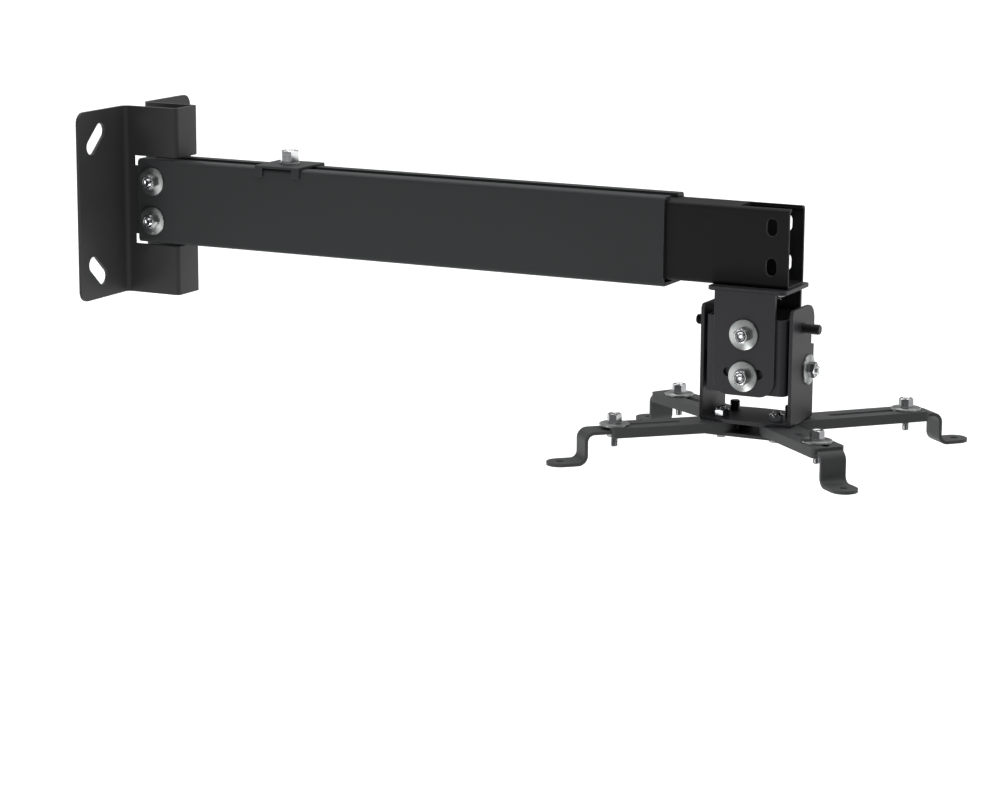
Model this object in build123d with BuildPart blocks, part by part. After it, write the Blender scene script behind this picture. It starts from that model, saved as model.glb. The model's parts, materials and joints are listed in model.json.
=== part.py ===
from build123d import *
import os
from math import atan2, cos, degrees, hypot, radians, sin

os.makedirs("parts", exist_ok=True)

# Frame: the wall is the plane X = 0, the arm points along +X, +Z is up.
# All sizes are in millimetres and all angles in degrees.

# Sheet steel and running gaps
sheet = 2.0
thin_sheet = 1.5
fit_gap = 0.1
slide_gap = 0.3
face_gap = 0.05
pin_gap = 0.08
hole_gap = 0.25

# Wall plate: one strip folded to a hat section, with two flanges on the wall
plate_height = 113.4
plate_width = 123.0
plate_depth = 38.7
plate_corner = 6.5
flange_bend_radius = 3.0
front_bend_radius = 0.5
hat_width = 23.8
wall_slot_width = 9.6
wall_slot_length = 22.3
wall_slot_lean = 48.0
wall_slot_y = 43.5
wall_slot_z = 39.7
window_start = 7.7
window_gap = 1.55
tongue_step = 4.45

# Sleeve: open channel with two lips that straddles the plate's side walls
sleeve_height = 50.5
sleeve_start = 11.9
sleeve_end = 358.5
sleeve_corner = 2.6
sleeve_top_opening = 10.0
plate_bolt_inset = 10.1
plate_bolt_z = 11.9

# Inner arm: closed tube that slides in the sleeve
arm_drop_gap = 1.85
arm_corner = 2.5
arm_start = 96.5
arm_end = 432.0
arm_notch_length = 31.0
arm_lip = 3.6
arm_hole_width = 6.4
arm_hole_height = 9.8
arm_hole_inset = 10.0
arm_hole_upper_drop = 10.35
arm_hole_lower_rise = 12.0

# Clamp saddle on top of the sleeve, screwed into the inner arm
saddle_centre = 110.0
saddle_length = 30.0
saddle_tab_drop = 5.2
saddle_tab_length = 5.0
saddle_fillet = 1.0

# Roll bracket under the arm's end, with a pivot and a clamp in each leg
head_inset = 21.8
head_bolt_spacing = 23.0
roll_web_length = 46.5
roll_web_step = 0.5
roll_web_corner = 4.0
roll_outer_width = 40.0
roll_leg_width = 36.0
roll_leg_length = 59.6
roll_leg_corner = 9.0
roll_axis_drop = 25.2
roll_clamp_radius = 23.4
roll_slot_half_angle = 23.0

# Tilt box between the legs
box_length = 47.5
box_height = 42.5
box_drop = 16.1
box_corner = 3.5

# Tilt pin, and the clamp bolts that follow arc slots in the box
tilt_axis_drop = 22.5
tilt_clamp_y = 8.0
tilt_clamp_drop = 24.4
tilt_low = -18.0
tilt_high = 4.0
tilt_pin_end_right = 9.8
tilt_pin_end_left = 9.0

# Yoke around the box
yoke_play = 1.5
yoke_width = 33.0
yoke_drop = 10.6
yoke_height = 65.4
yoke_near_corner = 3.0
yoke_far_corner = 9.0
yoke_base_bow = 3.0
yoke_notch_depth = 4.0
yoke_notch_height = 6.0
yoke_notch_drop = 8.1

# Hub: four bolts in a rectangle hold the spider arms under the yoke
hub_inset_x = 10.75
hub_side_gap = 0.1
hub_plate_margin_x = 11.0
hub_plate_margin_y = 8.2
hub_plate_corner = 7.0
hub_screw_stand = 5.2

# Spider arms: shallow channels, open below, each turning on its own hub bolt
spider_width = 19.5
spider_height = 5.6
spider_end_corner = 3.0
spider_slot_width = 4.6
spider_slot_start = 24.0
spider_slot_margin = 2.2

# Each arm's reach and the place of its foot bolt, both from the hub bolt, and its plan angle
left_reach = 67.5
left_bolt_place = 63.0
left_angle = -137.0
right_reach = 83.6
right_bolt_place = 72.8
right_angle = 47.0
front_reach = 61.5
front_bolt_place = 47.0
front_angle = -41.0
back_reach = 71.5
back_bolt_place = 56.0
back_angle = 147.5

# Feet: strips folded twice, clamped in the channels
foot_width = 15.2
foot_run = 27.5
foot_bolt_inset = 19.5
foot_drop = 19.0
foot_toe = 19.5
foot_bend_radius = 3.8
foot_hole_radius = 2.25

# Fasteners: M5 in the brackets, M6 at the saddle, the tilt pin and the far hub, M4 at the feet
m4_radius = 2.0
m4_flats = 7.2
m4_head = 5.4
m4_nut = 3.2
m4_length_below = 12.0
m5_radius = 2.5
m5_flats = 8.0
m5_head = 3.5
m5_nut = 4.0
m6_radius = 3.0
m6_flats = 10.0
m6_head = 4.0
m6_nut = 5.0
saddle_head = 6.8
washer_radius = 8.5
washer_thickness = 1.2
small_washer_radius = 6.0
nut_bore_gap = 0.1
bolt_proud = 1.4
pin_chamfer = 0.5

# Wall plate and sleeve, worked out from the sizes above
hat_half = hat_width / 2
flange_half = plate_width / 2
flange_fold = flange_bend_radius + sheet / 2
front_fold = front_bend_radius + sheet / 2
window_half = sleeve_height / 2 + window_gap
tongue_half = sleeve_height / 2 - tongue_step
tongue_end = plate_depth - sheet - front_bend_radius
sleeve_width = hat_width + 2 * (fit_gap + sheet)
sleeve_half = sleeve_width / 2
sleeve_top = sleeve_height / 2
plate_bolt_x = sleeve_start + plate_bolt_inset

# Inner arm and clamp saddle
arm_width = 2 * (sleeve_half - sheet - slide_gap)
arm_bottom = -sleeve_top + sheet + arm_drop_gap
arm_top = sleeve_top - sheet - slide_gap
arm_height = arm_top - arm_bottom
arm_floor = arm_bottom + thin_sheet
arm_ceiling = arm_top - thin_sheet
arm_hole_x = arm_end - arm_hole_inset
arm_hole_upper_z = arm_top - arm_hole_upper_drop
arm_hole_lower_z = arm_bottom + arm_hole_lower_rise
saddle_underside = sleeve_top + face_gap
saddle_top = saddle_underside + thin_sheet
saddle_inner_half = sleeve_half + fit_gap
saddle_outer_half = saddle_inner_half + thin_sheet
clamp_seat = saddle_top + washer_thickness

# Roll bracket, tilt box and yoke
head_x = arm_end - head_inset
roll_half = roll_outer_width / 2
roll_web_width = roll_outer_width - 2 * roll_web_step
roll_web_bottom = arm_bottom - sheet
roll_leg_end_z = arm_bottom - roll_leg_length
roll_axis_z = arm_bottom - roll_axis_drop
roll_clamp_z = roll_axis_z - roll_clamp_radius
roll_seat = roll_half + face_gap
box_half_x = box_length / 2
box_half_y = roll_half - sheet - face_gap
box_top_z = arm_bottom - box_drop
box_bottom_z = box_top_z - box_height
tilt_axis_z = arm_bottom - tilt_axis_drop
tilt_clamp_z = tilt_axis_z - tilt_clamp_drop
tilt_clamp_radius = hypot(tilt_clamp_y, tilt_clamp_drop)
tilt_clamp_angle = degrees(atan2(tilt_clamp_y, tilt_clamp_drop))
tilt_head_offset = box_half_x - sheet - face_gap
yoke_length = box_length + 2 * (yoke_play + sheet)
yoke_half = yoke_length / 2
yoke_top_z = arm_bottom - yoke_drop
yoke_base_bottom = yoke_top_z - yoke_height
yoke_base_top_z = yoke_base_bottom + sheet
yoke_notch_z = tilt_axis_z - yoke_notch_drop
spacer_thickness = yoke_play - face_gap

# Hub, spider arms and feet
hub_spacing_x = yoke_length - 2 * hub_inset_x
hub_spacing_y = spider_width + hub_side_gap
hub_plate_length = hub_spacing_x + 2 * hub_plate_margin_x
hub_plate_width = hub_spacing_y + 2 * hub_plate_margin_y
spider_top = yoke_base_bottom - face_gap
spider_underside = spider_top - thin_sheet
spider_bottom = spider_top - spider_height
hub_plate_top = spider_bottom - face_gap
hub_plate_bottom = hub_plate_top - sheet
hub_stack = yoke_base_top_z - hub_plate_bottom
foot_top = spider_underside - face_gap
foot_seat = spider_top + face_gap
foot_head_seat = foot_seat + washer_thickness

# Each arm: plan angle, reach and bolt place, then on which side its hub bolt stands along X and along Y
spider_arms = {
    "left": (left_angle, left_reach, left_bolt_place, -1, -1),
    "right": (right_angle, right_reach, right_bolt_place, 1, 1),
    "front": (front_angle, front_reach, front_bolt_place, 1, -1),
    "back": (back_angle, back_reach, back_bolt_place, -1, 1),
}


def facing(x, y, z, normal, across):
    """Work plane at a point, with its normal and its own X direction."""
    return Plane(origin=(x, y, z), x_dir=across, z_dir=normal)


def facing_y(x, y, z, side):
    """Work plane whose normal points to side times +Y, with +X across."""
    return facing(x, y, z, (0, side, 0), (1, 0, 0))


def facing_x(x, y, z, side):
    """Work plane whose normal points to side times +X, with +Y across."""
    return facing(x, y, z, (side, 0, 0), (0, 1, 0))


def facing_z(x, y, z, side):
    """Work plane whose normal points to side times +Z, with +X across."""
    return facing(x, y, z, (0, 0, side), (1, 0, 0))


def washer(seat, outer_radius, inner_radius, thickness):
    """Flat ring that lies on the seat plane."""
    with BuildPart() as ring:
        with BuildSketch(seat):
            Circle(outer_radius)
            Circle(inner_radius, mode=Mode.SUBTRACT)
        extrude(amount=thickness)
    return ring.part


def hex_nut(seat, across_flats, thickness, thread_radius):
    """Hexagon nut that lies on the seat plane."""
    with BuildPart() as nut:
        with BuildSketch(seat):
            RegularPolygon(across_flats / 2, 6, major_radius=False)
            Circle(thread_radius + nut_bore_gap, mode=Mode.SUBTRACT)
        extrude(amount=thickness)
    return nut.part


def hex_bolt(seat, across_flats, head_height, shank_radius, shank_length):
    """Hexagon bolt: the head stands on the seat plane, the shank goes down through it."""
    with BuildPart() as bolt:
        with BuildSketch(seat):
            RegularPolygon(across_flats / 2, 6, major_radius=False)
        extrude(amount=head_height)
        with BuildSketch(seat):
            Circle(shank_radius)
        extrude(amount=-shank_length)
    return bolt.part


def arc_slot(plane, radius, start_angle, end_angle, width):
    """Cutter for a slot along an arc; angles turn from straight down towards the plane's +X."""
    first = (radius * sin(radians(start_angle)), -radius * cos(radians(start_angle)))
    middle_angle = (start_angle + end_angle) / 2
    middle = (radius * sin(radians(middle_angle)), -radius * cos(radians(middle_angle)))
    last = (radius * sin(radians(end_angle)), -radius * cos(radians(end_angle)))
    with BuildPart() as cutter:
        with BuildSketch(plane):
            with BuildLine() as path:
                ThreePointArc(first, middle, last)
            trace(path.line, line_width=width)
            with Locations(first, last):
                Circle(width / 2)
        extrude(amount=2 * sheet, both=True)
    return cutter.part


def save(name, builder):
    """Label a finished piece and write it."""
    builder.part.label = name
    export_step(builder.part, f"parts/{name}.step")


# Wall plate
with BuildPart() as wall_plate:
    with BuildSketch(Plane.XY.offset(-plate_height / 2)):
        with BuildLine() as hat_line:
            FilletPolyline(
                (sheet / 2, -flange_half),
                (sheet / 2, -hat_half + sheet / 2),
                (plate_depth - sheet / 2, -hat_half + sheet / 2),
                (plate_depth - sheet / 2, hat_half - sheet / 2),
                (sheet / 2, hat_half - sheet / 2),
                (sheet / 2, flange_half),
                radius=[flange_fold, front_fold, front_fold, flange_fold],
            )
        trace(hat_line.line, line_width=sheet)
    extrude(amount=plate_height)
    corner_edges = wall_plate.edges().filter_by(Axis.X)
    fillet(corner_edges.group_by(Axis.Y)[0] + corner_edges.group_by(Axis.Y)[-1], radius=plate_corner)
    # Leaning slots for the wall screws
    with BuildSketch(Plane.YZ):
        for side_y in (-1, 1):
            for side_z in (-1, 1):
                with Locations((side_y * wall_slot_y, side_z * wall_slot_z)):
                    slot_angle = 90 + side_y * side_z * wall_slot_lean
                    SlotOverall(wall_slot_length, wall_slot_width, rotation=slot_angle)
    extrude(amount=sheet, mode=Mode.SUBTRACT)
    # Window for the sleeve, through the front face and past the tongues of the side walls
    with BuildSketch(Plane.XZ.offset(-hat_half)):
        with Locations((window_start, 0)):
            Rectangle(plate_depth - window_start, 2 * window_half, align=(Align.MIN, Align.CENTER))
            Rectangle(
                tongue_end - window_start,
                2 * tongue_half,
                align=(Align.MIN, Align.CENTER),
                mode=Mode.SUBTRACT,
            )
        with Locations((plate_bolt_x, plate_bolt_z), (plate_bolt_x, -plate_bolt_z)):
            Circle(m5_radius + hole_gap)
    extrude(amount=hat_width, mode=Mode.SUBTRACT)
save("wall_plate", wall_plate)

# Sleeve
with BuildPart() as sleeve:
    with BuildSketch(Plane.YZ.offset(sleeve_start)):
        with BuildLine() as channel_line:
            FilletPolyline(
                (-sleeve_top_opening / 2, sleeve_top - sheet / 2),
                (-sleeve_half + sheet / 2, sleeve_top - sheet / 2),
                (-sleeve_half + sheet / 2, -sleeve_top + sheet / 2),
                (sleeve_half - sheet / 2, -sleeve_top + sheet / 2),
                (sleeve_half - sheet / 2, sleeve_top - sheet / 2),
                (sleeve_top_opening / 2, sleeve_top - sheet / 2),
                radius=sleeve_corner - sheet / 2,
            )
        trace(channel_line.line, line_width=sheet)
    extrude(amount=sleeve_end - sleeve_start)
    with BuildSketch(Plane.XZ.offset(-sleeve_half)):
        with Locations((plate_bolt_x, plate_bolt_z), (plate_bolt_x, -plate_bolt_z)):
            Circle(m5_radius + hole_gap)
    extrude(amount=sleeve_width, mode=Mode.SUBTRACT)
save("sleeve", sleeve)

# Inner arm
with BuildPart() as inner_arm:
    with BuildSketch(Plane.YZ.offset(arm_start)):
        with Locations((0, (arm_bottom + arm_top) / 2)):
            RectangleRounded(arm_width, arm_height, arm_corner)
            RectangleRounded(
                arm_width - 2 * thin_sheet,
                arm_height - 2 * thin_sheet,
                arm_corner - thin_sheet,
                mode=Mode.SUBTRACT,
            )
    extrude(amount=arm_end - arm_start)
    # Notch in the top of the free end, for reaching the head bolts
    with BuildSketch(Plane.XY.offset(arm_ceiling)):
        with Locations((arm_end, 0)):
            Rectangle(arm_notch_length, arm_width - 2 * arm_lip, align=(Align.MAX, Align.CENTER))
        with Locations((saddle_centre, 0)):
            Circle(m6_radius + hole_gap)
    extrude(amount=thin_sheet, mode=Mode.SUBTRACT)
    # Holes in both side walls, near the free end
    with BuildSketch(Plane.XZ.offset(-arm_width / 2)):
        with Locations((arm_hole_x, arm_hole_upper_z), (arm_hole_x, arm_hole_lower_z)):
            SlotOverall(arm_hole_height, arm_hole_width, rotation=90)
    extrude(amount=arm_width, mode=Mode.SUBTRACT)
    # Holes in the floor for the head bolts
    with BuildSketch(Plane.XY.offset(arm_bottom)):
        with Locations((head_x, 0)):
            with GridLocations(head_bolt_spacing, 1, 2, 1):
                Circle(m5_radius + hole_gap)
    extrude(amount=thin_sheet, mode=Mode.SUBTRACT)
save("inner_arm", inner_arm)

# Clamp saddle
with BuildPart() as clamp_saddle:
    with BuildSketch(Plane.YZ.offset(saddle_centre - saddle_length / 2)):
        with Locations((0, saddle_top)):
            Rectangle(2 * saddle_outer_half, thin_sheet + saddle_tab_drop, align=(Align.CENTER, Align.MAX))
        with Locations((0, saddle_underside)):
            Rectangle(
                2 * saddle_inner_half,
                saddle_tab_drop,
                align=(Align.CENTER, Align.MAX),
                mode=Mode.SUBTRACT,
            )
    extrude(amount=saddle_length)
    shoulder_edges = clamp_saddle.edges().filter_by(Axis.X).group_by(Axis.Z)[-1]
    fillet(shoulder_edges, radius=saddle_fillet)
    # Between the end tabs the skirts are cut back
    with BuildSketch(Plane.XZ.offset(-saddle_outer_half)):
        with Locations((saddle_centre, saddle_underside)):
            Rectangle(
                saddle_length - 2 * saddle_tab_length,
                saddle_tab_drop,
                align=(Align.CENTER, Align.MAX),
            )
    extrude(amount=2 * saddle_outer_half, mode=Mode.SUBTRACT)
    with BuildSketch(Plane.XY.offset(saddle_underside)):
        with Locations((saddle_centre, 0)):
            Circle(m6_radius + hole_gap)
    extrude(amount=thin_sheet, mode=Mode.SUBTRACT)
save("clamp_saddle", clamp_saddle)

# Clamp screw with its washer, and its nut under the inner arm's top wall
with BuildPart() as clamp_washer:
    washer_plane = facing_z(saddle_centre, 0, saddle_top, 1)
    add(washer(washer_plane, small_washer_radius, m6_radius + hole_gap, washer_thickness))
save("clamp_washer", clamp_washer)

with BuildPart() as clamp_screw:
    screw_reach = clamp_seat - arm_ceiling + m6_nut + bolt_proud
    add(hex_bolt(facing_z(saddle_centre, 0, clamp_seat, 1), m6_flats, saddle_head, m6_radius, screw_reach))
save("clamp_screw", clamp_screw)

with BuildPart() as clamp_nut:
    add(hex_nut(facing_z(saddle_centre, 0, arm_ceiling, -1), m6_flats, m6_nut, m6_radius))
save("clamp_nut", clamp_nut)

# Bolts that hold the sleeve on the wall plate: heads on the far side, nuts on the near side
plate_bolt_places = [(plate_bolt_x, plate_bolt_z), (plate_bolt_x, -plate_bolt_z)]
plate_bolt_seat = sleeve_half + washer_thickness
with BuildPart() as plate_washers:
    for bolt_x, bolt_z in plate_bolt_places:
        for side in (-1, 1):
            washer_plane = facing_y(bolt_x, side * sleeve_half, bolt_z, side)
            add(washer(washer_plane, washer_radius, m5_radius + hole_gap, washer_thickness))
save("plate_washers", plate_washers)

with BuildPart() as plate_bolts:
    for bolt_x, bolt_z in plate_bolt_places:
        bolt_reach = 2 * plate_bolt_seat + m5_nut + bolt_proud
        add(hex_bolt(facing_y(bolt_x, plate_bolt_seat, bolt_z, 1), m5_flats, m5_head, m5_radius, bolt_reach))
save("plate_bolts", plate_bolts)

with BuildPart() as plate_nuts:
    for bolt_x, bolt_z in plate_bolt_places:
        add(hex_nut(facing_y(bolt_x, -plate_bolt_seat, bolt_z, -1), m5_flats, m5_nut, m5_radius))
save("plate_nuts", plate_nuts)

# Roll bracket: a web under the arm with two legs, each with a pivot hole and an arc slot
with BuildPart() as roll_bracket:
    with BuildSketch(Plane.YZ.offset(head_x - roll_leg_width / 2)):
        with Locations((0, arm_bottom)):
            Rectangle(roll_outer_width, arm_bottom - roll_leg_end_z, align=(Align.CENTER, Align.MAX))
        with Locations((0, roll_web_bottom)):
            Rectangle(
                roll_outer_width - 2 * sheet,
                roll_web_bottom - roll_leg_end_z,
                align=(Align.CENTER, Align.MAX),
                mode=Mode.SUBTRACT,
            )
    extrude(amount=roll_leg_width)
    fillet(roll_bracket.edges().filter_by(Axis.X).group_by(Axis.Z)[-1], radius=sheet)
    fillet(roll_bracket.edges().filter_by(Axis.Y).group_by(Axis.Z)[0], radius=roll_leg_corner)
    with BuildSketch(Plane.XY.offset(roll_web_bottom)):
        with Locations((head_x, 0)):
            RectangleRounded(roll_web_length, roll_web_width, roll_web_corner)
    extrude(amount=sheet)
    with BuildSketch(Plane.XY.offset(roll_web_bottom)):
        with Locations((head_x, 0)):
            with GridLocations(head_bolt_spacing, 1, 2, 1):
                Circle(m5_radius + hole_gap)
    extrude(amount=sheet, mode=Mode.SUBTRACT)
    with BuildSketch(Plane.XZ.offset(-roll_half)):
        with Locations((head_x, roll_axis_z)):
            Circle(m5_radius + pin_gap)
    extrude(amount=roll_outer_width, mode=Mode.SUBTRACT)
    for side in (-1, 1):
        slot_plane = facing_y(head_x, side * (roll_half - sheet / 2), roll_axis_z, -1)
        slot_width = 2 * (m5_radius + hole_gap)
        slot_half = roll_slot_half_angle
        add(arc_slot(slot_plane, roll_clamp_radius, -slot_half, slot_half, slot_width), mode=Mode.SUBTRACT)
save("roll_bracket", roll_bracket)

# Bolts that hold the roll bracket under the arm: heads inside the tube, nuts below the web
head_bolt_places = [head_x - head_bolt_spacing / 2, head_x + head_bolt_spacing / 2]
with BuildPart() as head_bolts:
    for bolt_x in head_bolt_places:
        bolt_reach = arm_floor - roll_web_bottom + m5_nut + bolt_proud
        add(hex_bolt(facing_z(bolt_x, 0, arm_floor, 1), m5_flats, m5_head, m5_radius, bolt_reach))
save("head_bolts", head_bolts)

with BuildPart() as head_nuts:
    for bolt_x in head_bolt_places:
        add(hex_nut(facing_z(bolt_x, 0, roll_web_bottom, -1), m5_flats, m5_nut, m5_radius))
save("head_nuts", head_nuts)

# Tilt box: a strip folded into four walls, open above and below
with BuildPart() as tilt_box:
    with BuildSketch(Plane.XY.offset(box_bottom_z)):
        with Locations((head_x, 0)):
            RectangleRounded(box_length, 2 * box_half_y, box_corner)
            RectangleRounded(
                box_length - 2 * sheet,
                2 * (box_half_y - sheet),
                box_corner - sheet,
                mode=Mode.SUBTRACT,
            )
    extrude(amount=box_top_z - box_bottom_z)
    with BuildSketch(Plane.XZ.offset(-box_half_y)):
        with Locations((head_x, roll_axis_z), (head_x, roll_clamp_z)):
            Circle(m5_radius + pin_gap)
    extrude(amount=2 * box_half_y, mode=Mode.SUBTRACT)
    with BuildSketch(Plane.YZ.offset(head_x - box_half_x)):
        with Locations((0, tilt_axis_z)):
            Circle(m6_radius + pin_gap)
    extrude(amount=box_length, mode=Mode.SUBTRACT)
    for side in (-1, 1):
        slot_plane = facing_x(head_x + side * (box_half_x - sheet / 2), 0, tilt_axis_z, 1)
        slot_width = 2 * (m5_radius + hole_gap)
        slot_start = tilt_clamp_angle + tilt_low
        slot_end = tilt_clamp_angle + tilt_high
        add(arc_slot(slot_plane, tilt_clamp_radius, slot_start, slot_end, slot_width), mode=Mode.SUBTRACT)
save("tilt_box", tilt_box)

# Roll pivots and roll clamps: short bolts with the heads inside the box and the nuts outside the legs
roll_places = [(side, z) for side in (-1, 1) for z in (roll_axis_z, roll_clamp_z)]
roll_head_seat = box_half_y - sheet
with BuildPart() as roll_bolts:
    for side, bolt_z in roll_places:
        bolt_reach = roll_seat + washer_thickness + m5_nut + bolt_proud - roll_head_seat
        seat = facing_y(head_x, side * roll_head_seat, bolt_z, -side)
        add(hex_bolt(seat, m5_flats, m5_head, m5_radius, bolt_reach))
save("roll_bolts", roll_bolts)

with BuildPart() as roll_washers:
    for side, bolt_z in roll_places:
        seat = facing_y(head_x, side * roll_seat, bolt_z, side)
        add(washer(seat, washer_radius, m5_radius + pin_gap, washer_thickness))
save("roll_washers", roll_washers)

with BuildPart() as roll_nuts:
    for side, bolt_z in roll_places:
        seat = facing_y(head_x, side * (roll_seat + washer_thickness), bolt_z, side)
        add(hex_nut(seat, m5_flats, m5_nut, m5_radius))
save("roll_nuts", roll_nuts)

# Yoke: two uprights on a base with bowed edges
with BuildPart() as yoke:
    with BuildSketch(Plane.XZ.offset(-yoke_width / 2)):
        with Locations((head_x, yoke_base_bottom)):
            Rectangle(yoke_length, yoke_top_z - yoke_base_bottom, align=(Align.CENTER, Align.MIN))
        with Locations((head_x, yoke_base_top_z)):
            Rectangle(
                yoke_length - 2 * sheet,
                yoke_top_z - yoke_base_top_z,
                align=(Align.CENTER, Align.MIN),
                mode=Mode.SUBTRACT,
            )
    extrude(amount=yoke_width)
    top_edges = yoke.edges().filter_by(Axis.X).group_by(Axis.Z)[-1]
    near_edges = top_edges.group_by(Axis.Y)[0]
    far_edges = top_edges.group_by(Axis.Y)[-1]
    fillet(near_edges, radius=yoke_near_corner)
    fillet(far_edges, radius=yoke_far_corner)
    fillet(yoke.edges().filter_by(Axis.Y).group_by(Axis.Z)[0], radius=sheet)
    # Bowed near and far edges of the base
    bow_half = yoke_half - 2 * sheet
    with BuildSketch(facing_z(head_x, 0, yoke_base_bottom, 1)):
        with BuildLine():
            ThreePointArc(
                (-bow_half, -yoke_width / 2),
                (0, -yoke_width / 2 - yoke_base_bow),
                (bow_half, -yoke_width / 2),
            )
            Line((bow_half, -yoke_width / 2), (bow_half, yoke_width / 2))
            ThreePointArc(
                (bow_half, yoke_width / 2),
                (0, yoke_width / 2 + yoke_base_bow),
                (-bow_half, yoke_width / 2),
            )
            Line((-bow_half, yoke_width / 2), (-bow_half, -yoke_width / 2))
        make_face()
    extrude(amount=sheet)
    with BuildSketch(Plane.YZ.offset(head_x - yoke_half)):
        with Locations((0, tilt_axis_z)):
            Circle(m6_radius + pin_gap)
        with Locations((tilt_clamp_y, tilt_clamp_z)):
            Circle(m5_radius + pin_gap)
        with Locations((yoke_width / 2, yoke_notch_z)):
            Rectangle(2 * yoke_notch_depth, yoke_notch_height)
    extrude(amount=yoke_length, mode=Mode.SUBTRACT)
    with BuildSketch(Plane.XY.offset(yoke_base_bottom)):
        with Locations((head_x, -hub_spacing_y / 2)):
            with GridLocations(hub_spacing_x, 1, 2, 1):
                Circle(m5_radius + pin_gap)
        with Locations((head_x, hub_spacing_y / 2)):
            with GridLocations(hub_spacing_x, 1, 2, 1):
                Circle(m6_radius + pin_gap)
    extrude(amount=sheet, mode=Mode.SUBTRACT)
save("yoke", yoke)

# Tilt pin: one threaded rod through the box and both uprights, with two nuts inside the box
with BuildPart() as tilt_pin:
    with BuildSketch(facing_x(head_x - yoke_half - tilt_pin_end_left, 0, tilt_axis_z, 1)):
        Circle(m6_radius)
    extrude(amount=yoke_length + tilt_pin_end_left + tilt_pin_end_right)
    chamfer(tilt_pin.edges().filter_by(GeomType.CIRCLE), length=pin_chamfer)
save("tilt_pin", tilt_pin)

with BuildPart() as tilt_pin_nuts:
    for side in (-1, 1):
        seat = facing_x(head_x + side * tilt_head_offset, 0, tilt_axis_z, -side)
        add(hex_nut(seat, m6_flats, m6_nut, m6_radius))
save("tilt_pin_nuts", tilt_pin_nuts)

# Spacers between the box and the uprights, on the pin and on the two clamp bolts
with BuildPart() as tilt_spacers:
    for side in (-1, 1):
        spacer_x = head_x + side * (box_half_x + face_gap)
        pin_plane = facing_x(spacer_x, 0, tilt_axis_z, side)
        add(washer(pin_plane, small_washer_radius, m6_radius + pin_gap, spacer_thickness))
        bolt_plane = facing_x(spacer_x, tilt_clamp_y, tilt_clamp_z, side)
        add(washer(bolt_plane, small_washer_radius, m5_radius + pin_gap, spacer_thickness))
save("tilt_spacers", tilt_spacers)

# Tilt clamps: short bolts through the arc slots of the box and the yoke's uprights
with BuildPart() as tilt_bolts:
    for side in (-1, 1):
        bolt_reach = yoke_half + washer_thickness + m5_nut + bolt_proud - tilt_head_offset
        seat = facing_x(head_x + side * tilt_head_offset, tilt_clamp_y, tilt_clamp_z, -side)
        add(hex_bolt(seat, m5_flats, m5_head, m5_radius, bolt_reach))
save("tilt_bolts", tilt_bolts)

with BuildPart() as tilt_washers:
    for side in (-1, 1):
        seat = facing_x(head_x + side * yoke_half, tilt_clamp_y, tilt_clamp_z, side)
        add(washer(seat, washer_radius, m5_radius + pin_gap, washer_thickness))
save("tilt_washers", tilt_washers)

with BuildPart() as tilt_nuts:
    for side in (-1, 1):
        seat = facing_x(head_x + side * (yoke_half + washer_thickness), tilt_clamp_y, tilt_clamp_z, side)
        add(hex_nut(seat, m5_flats, m5_nut, m5_radius))
save("tilt_nuts", tilt_nuts)

# Hub plate under the spider arms
with BuildPart() as hub_plate:
    with BuildSketch(Plane.XY.offset(hub_plate_bottom)):
        with Locations((head_x, 0)):
            RectangleRounded(hub_plate_length, hub_plate_width, hub_plate_corner)
        with Locations((head_x, -hub_spacing_y / 2)):
            with GridLocations(hub_spacing_x, 1, 2, 1):
                Circle(m5_radius + pin_gap, mode=Mode.SUBTRACT)
        with Locations((head_x, hub_spacing_y / 2)):
            with GridLocations(hub_spacing_x, 1, 2, 1):
                Circle(m6_radius + pin_gap, mode=Mode.SUBTRACT)
    extrude(amount=sheet)
save("hub_plate", hub_plate)

# Hub bolts, all from below: the near pair has nuts above, the far pair is tapped into the base
hub_x = [head_x - hub_spacing_x / 2, head_x + hub_spacing_x / 2]
with BuildPart() as near_hub_bolts:
    for bolt_x in hub_x:
        seat = facing_z(bolt_x, -hub_spacing_y / 2, hub_plate_bottom, -1)
        add(hex_bolt(seat, m5_flats, m5_head, m5_radius, hub_stack + m5_nut + bolt_proud))
save("near_hub_bolts", near_hub_bolts)

with BuildPart() as near_hub_nuts:
    for bolt_x in hub_x:
        seat = facing_z(bolt_x, -hub_spacing_y / 2, yoke_base_top_z, 1)
        add(hex_nut(seat, m5_flats, m5_nut, m5_radius))
save("near_hub_nuts", near_hub_nuts)

with BuildPart() as far_hub_screws:
    for bolt_x in hub_x:
        seat = facing_z(bolt_x, hub_spacing_y / 2, hub_plate_bottom, -1)
        add(hex_bolt(seat, m6_flats, m6_head, m6_radius, hub_stack + hub_screw_stand))
save("far_hub_screws", far_hub_screws)


def along(name, distance, z):
    """Point on an arm's middle line, at a distance from its hub bolt."""
    plan_angle, _, _, side_x, side_y = spider_arms[name]
    angle = radians(plan_angle)
    return (
        head_x + side_x * hub_spacing_x / 2 + distance * cos(angle),
        side_y * hub_spacing_y / 2 + distance * sin(angle),
        z,
    )


def arm_plane(name, distance, z, side=1):
    """Level work plane on an arm, with its X direction along the arm."""
    angle = radians(spider_arms[name][0])
    return Plane(origin=along(name, distance, z), x_dir=(cos(angle), sin(angle), 0), z_dir=(0, 0, side))


def arm_side_plane(name, distance, z):
    """Upright work plane along an arm's middle line, for the foot's folded profile."""
    angle = radians(spider_arms[name][0])
    return Plane(
        origin=along(name, distance, z),
        x_dir=(cos(angle), sin(angle), 0),
        z_dir=(sin(angle), -cos(angle), 0),
    )


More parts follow.
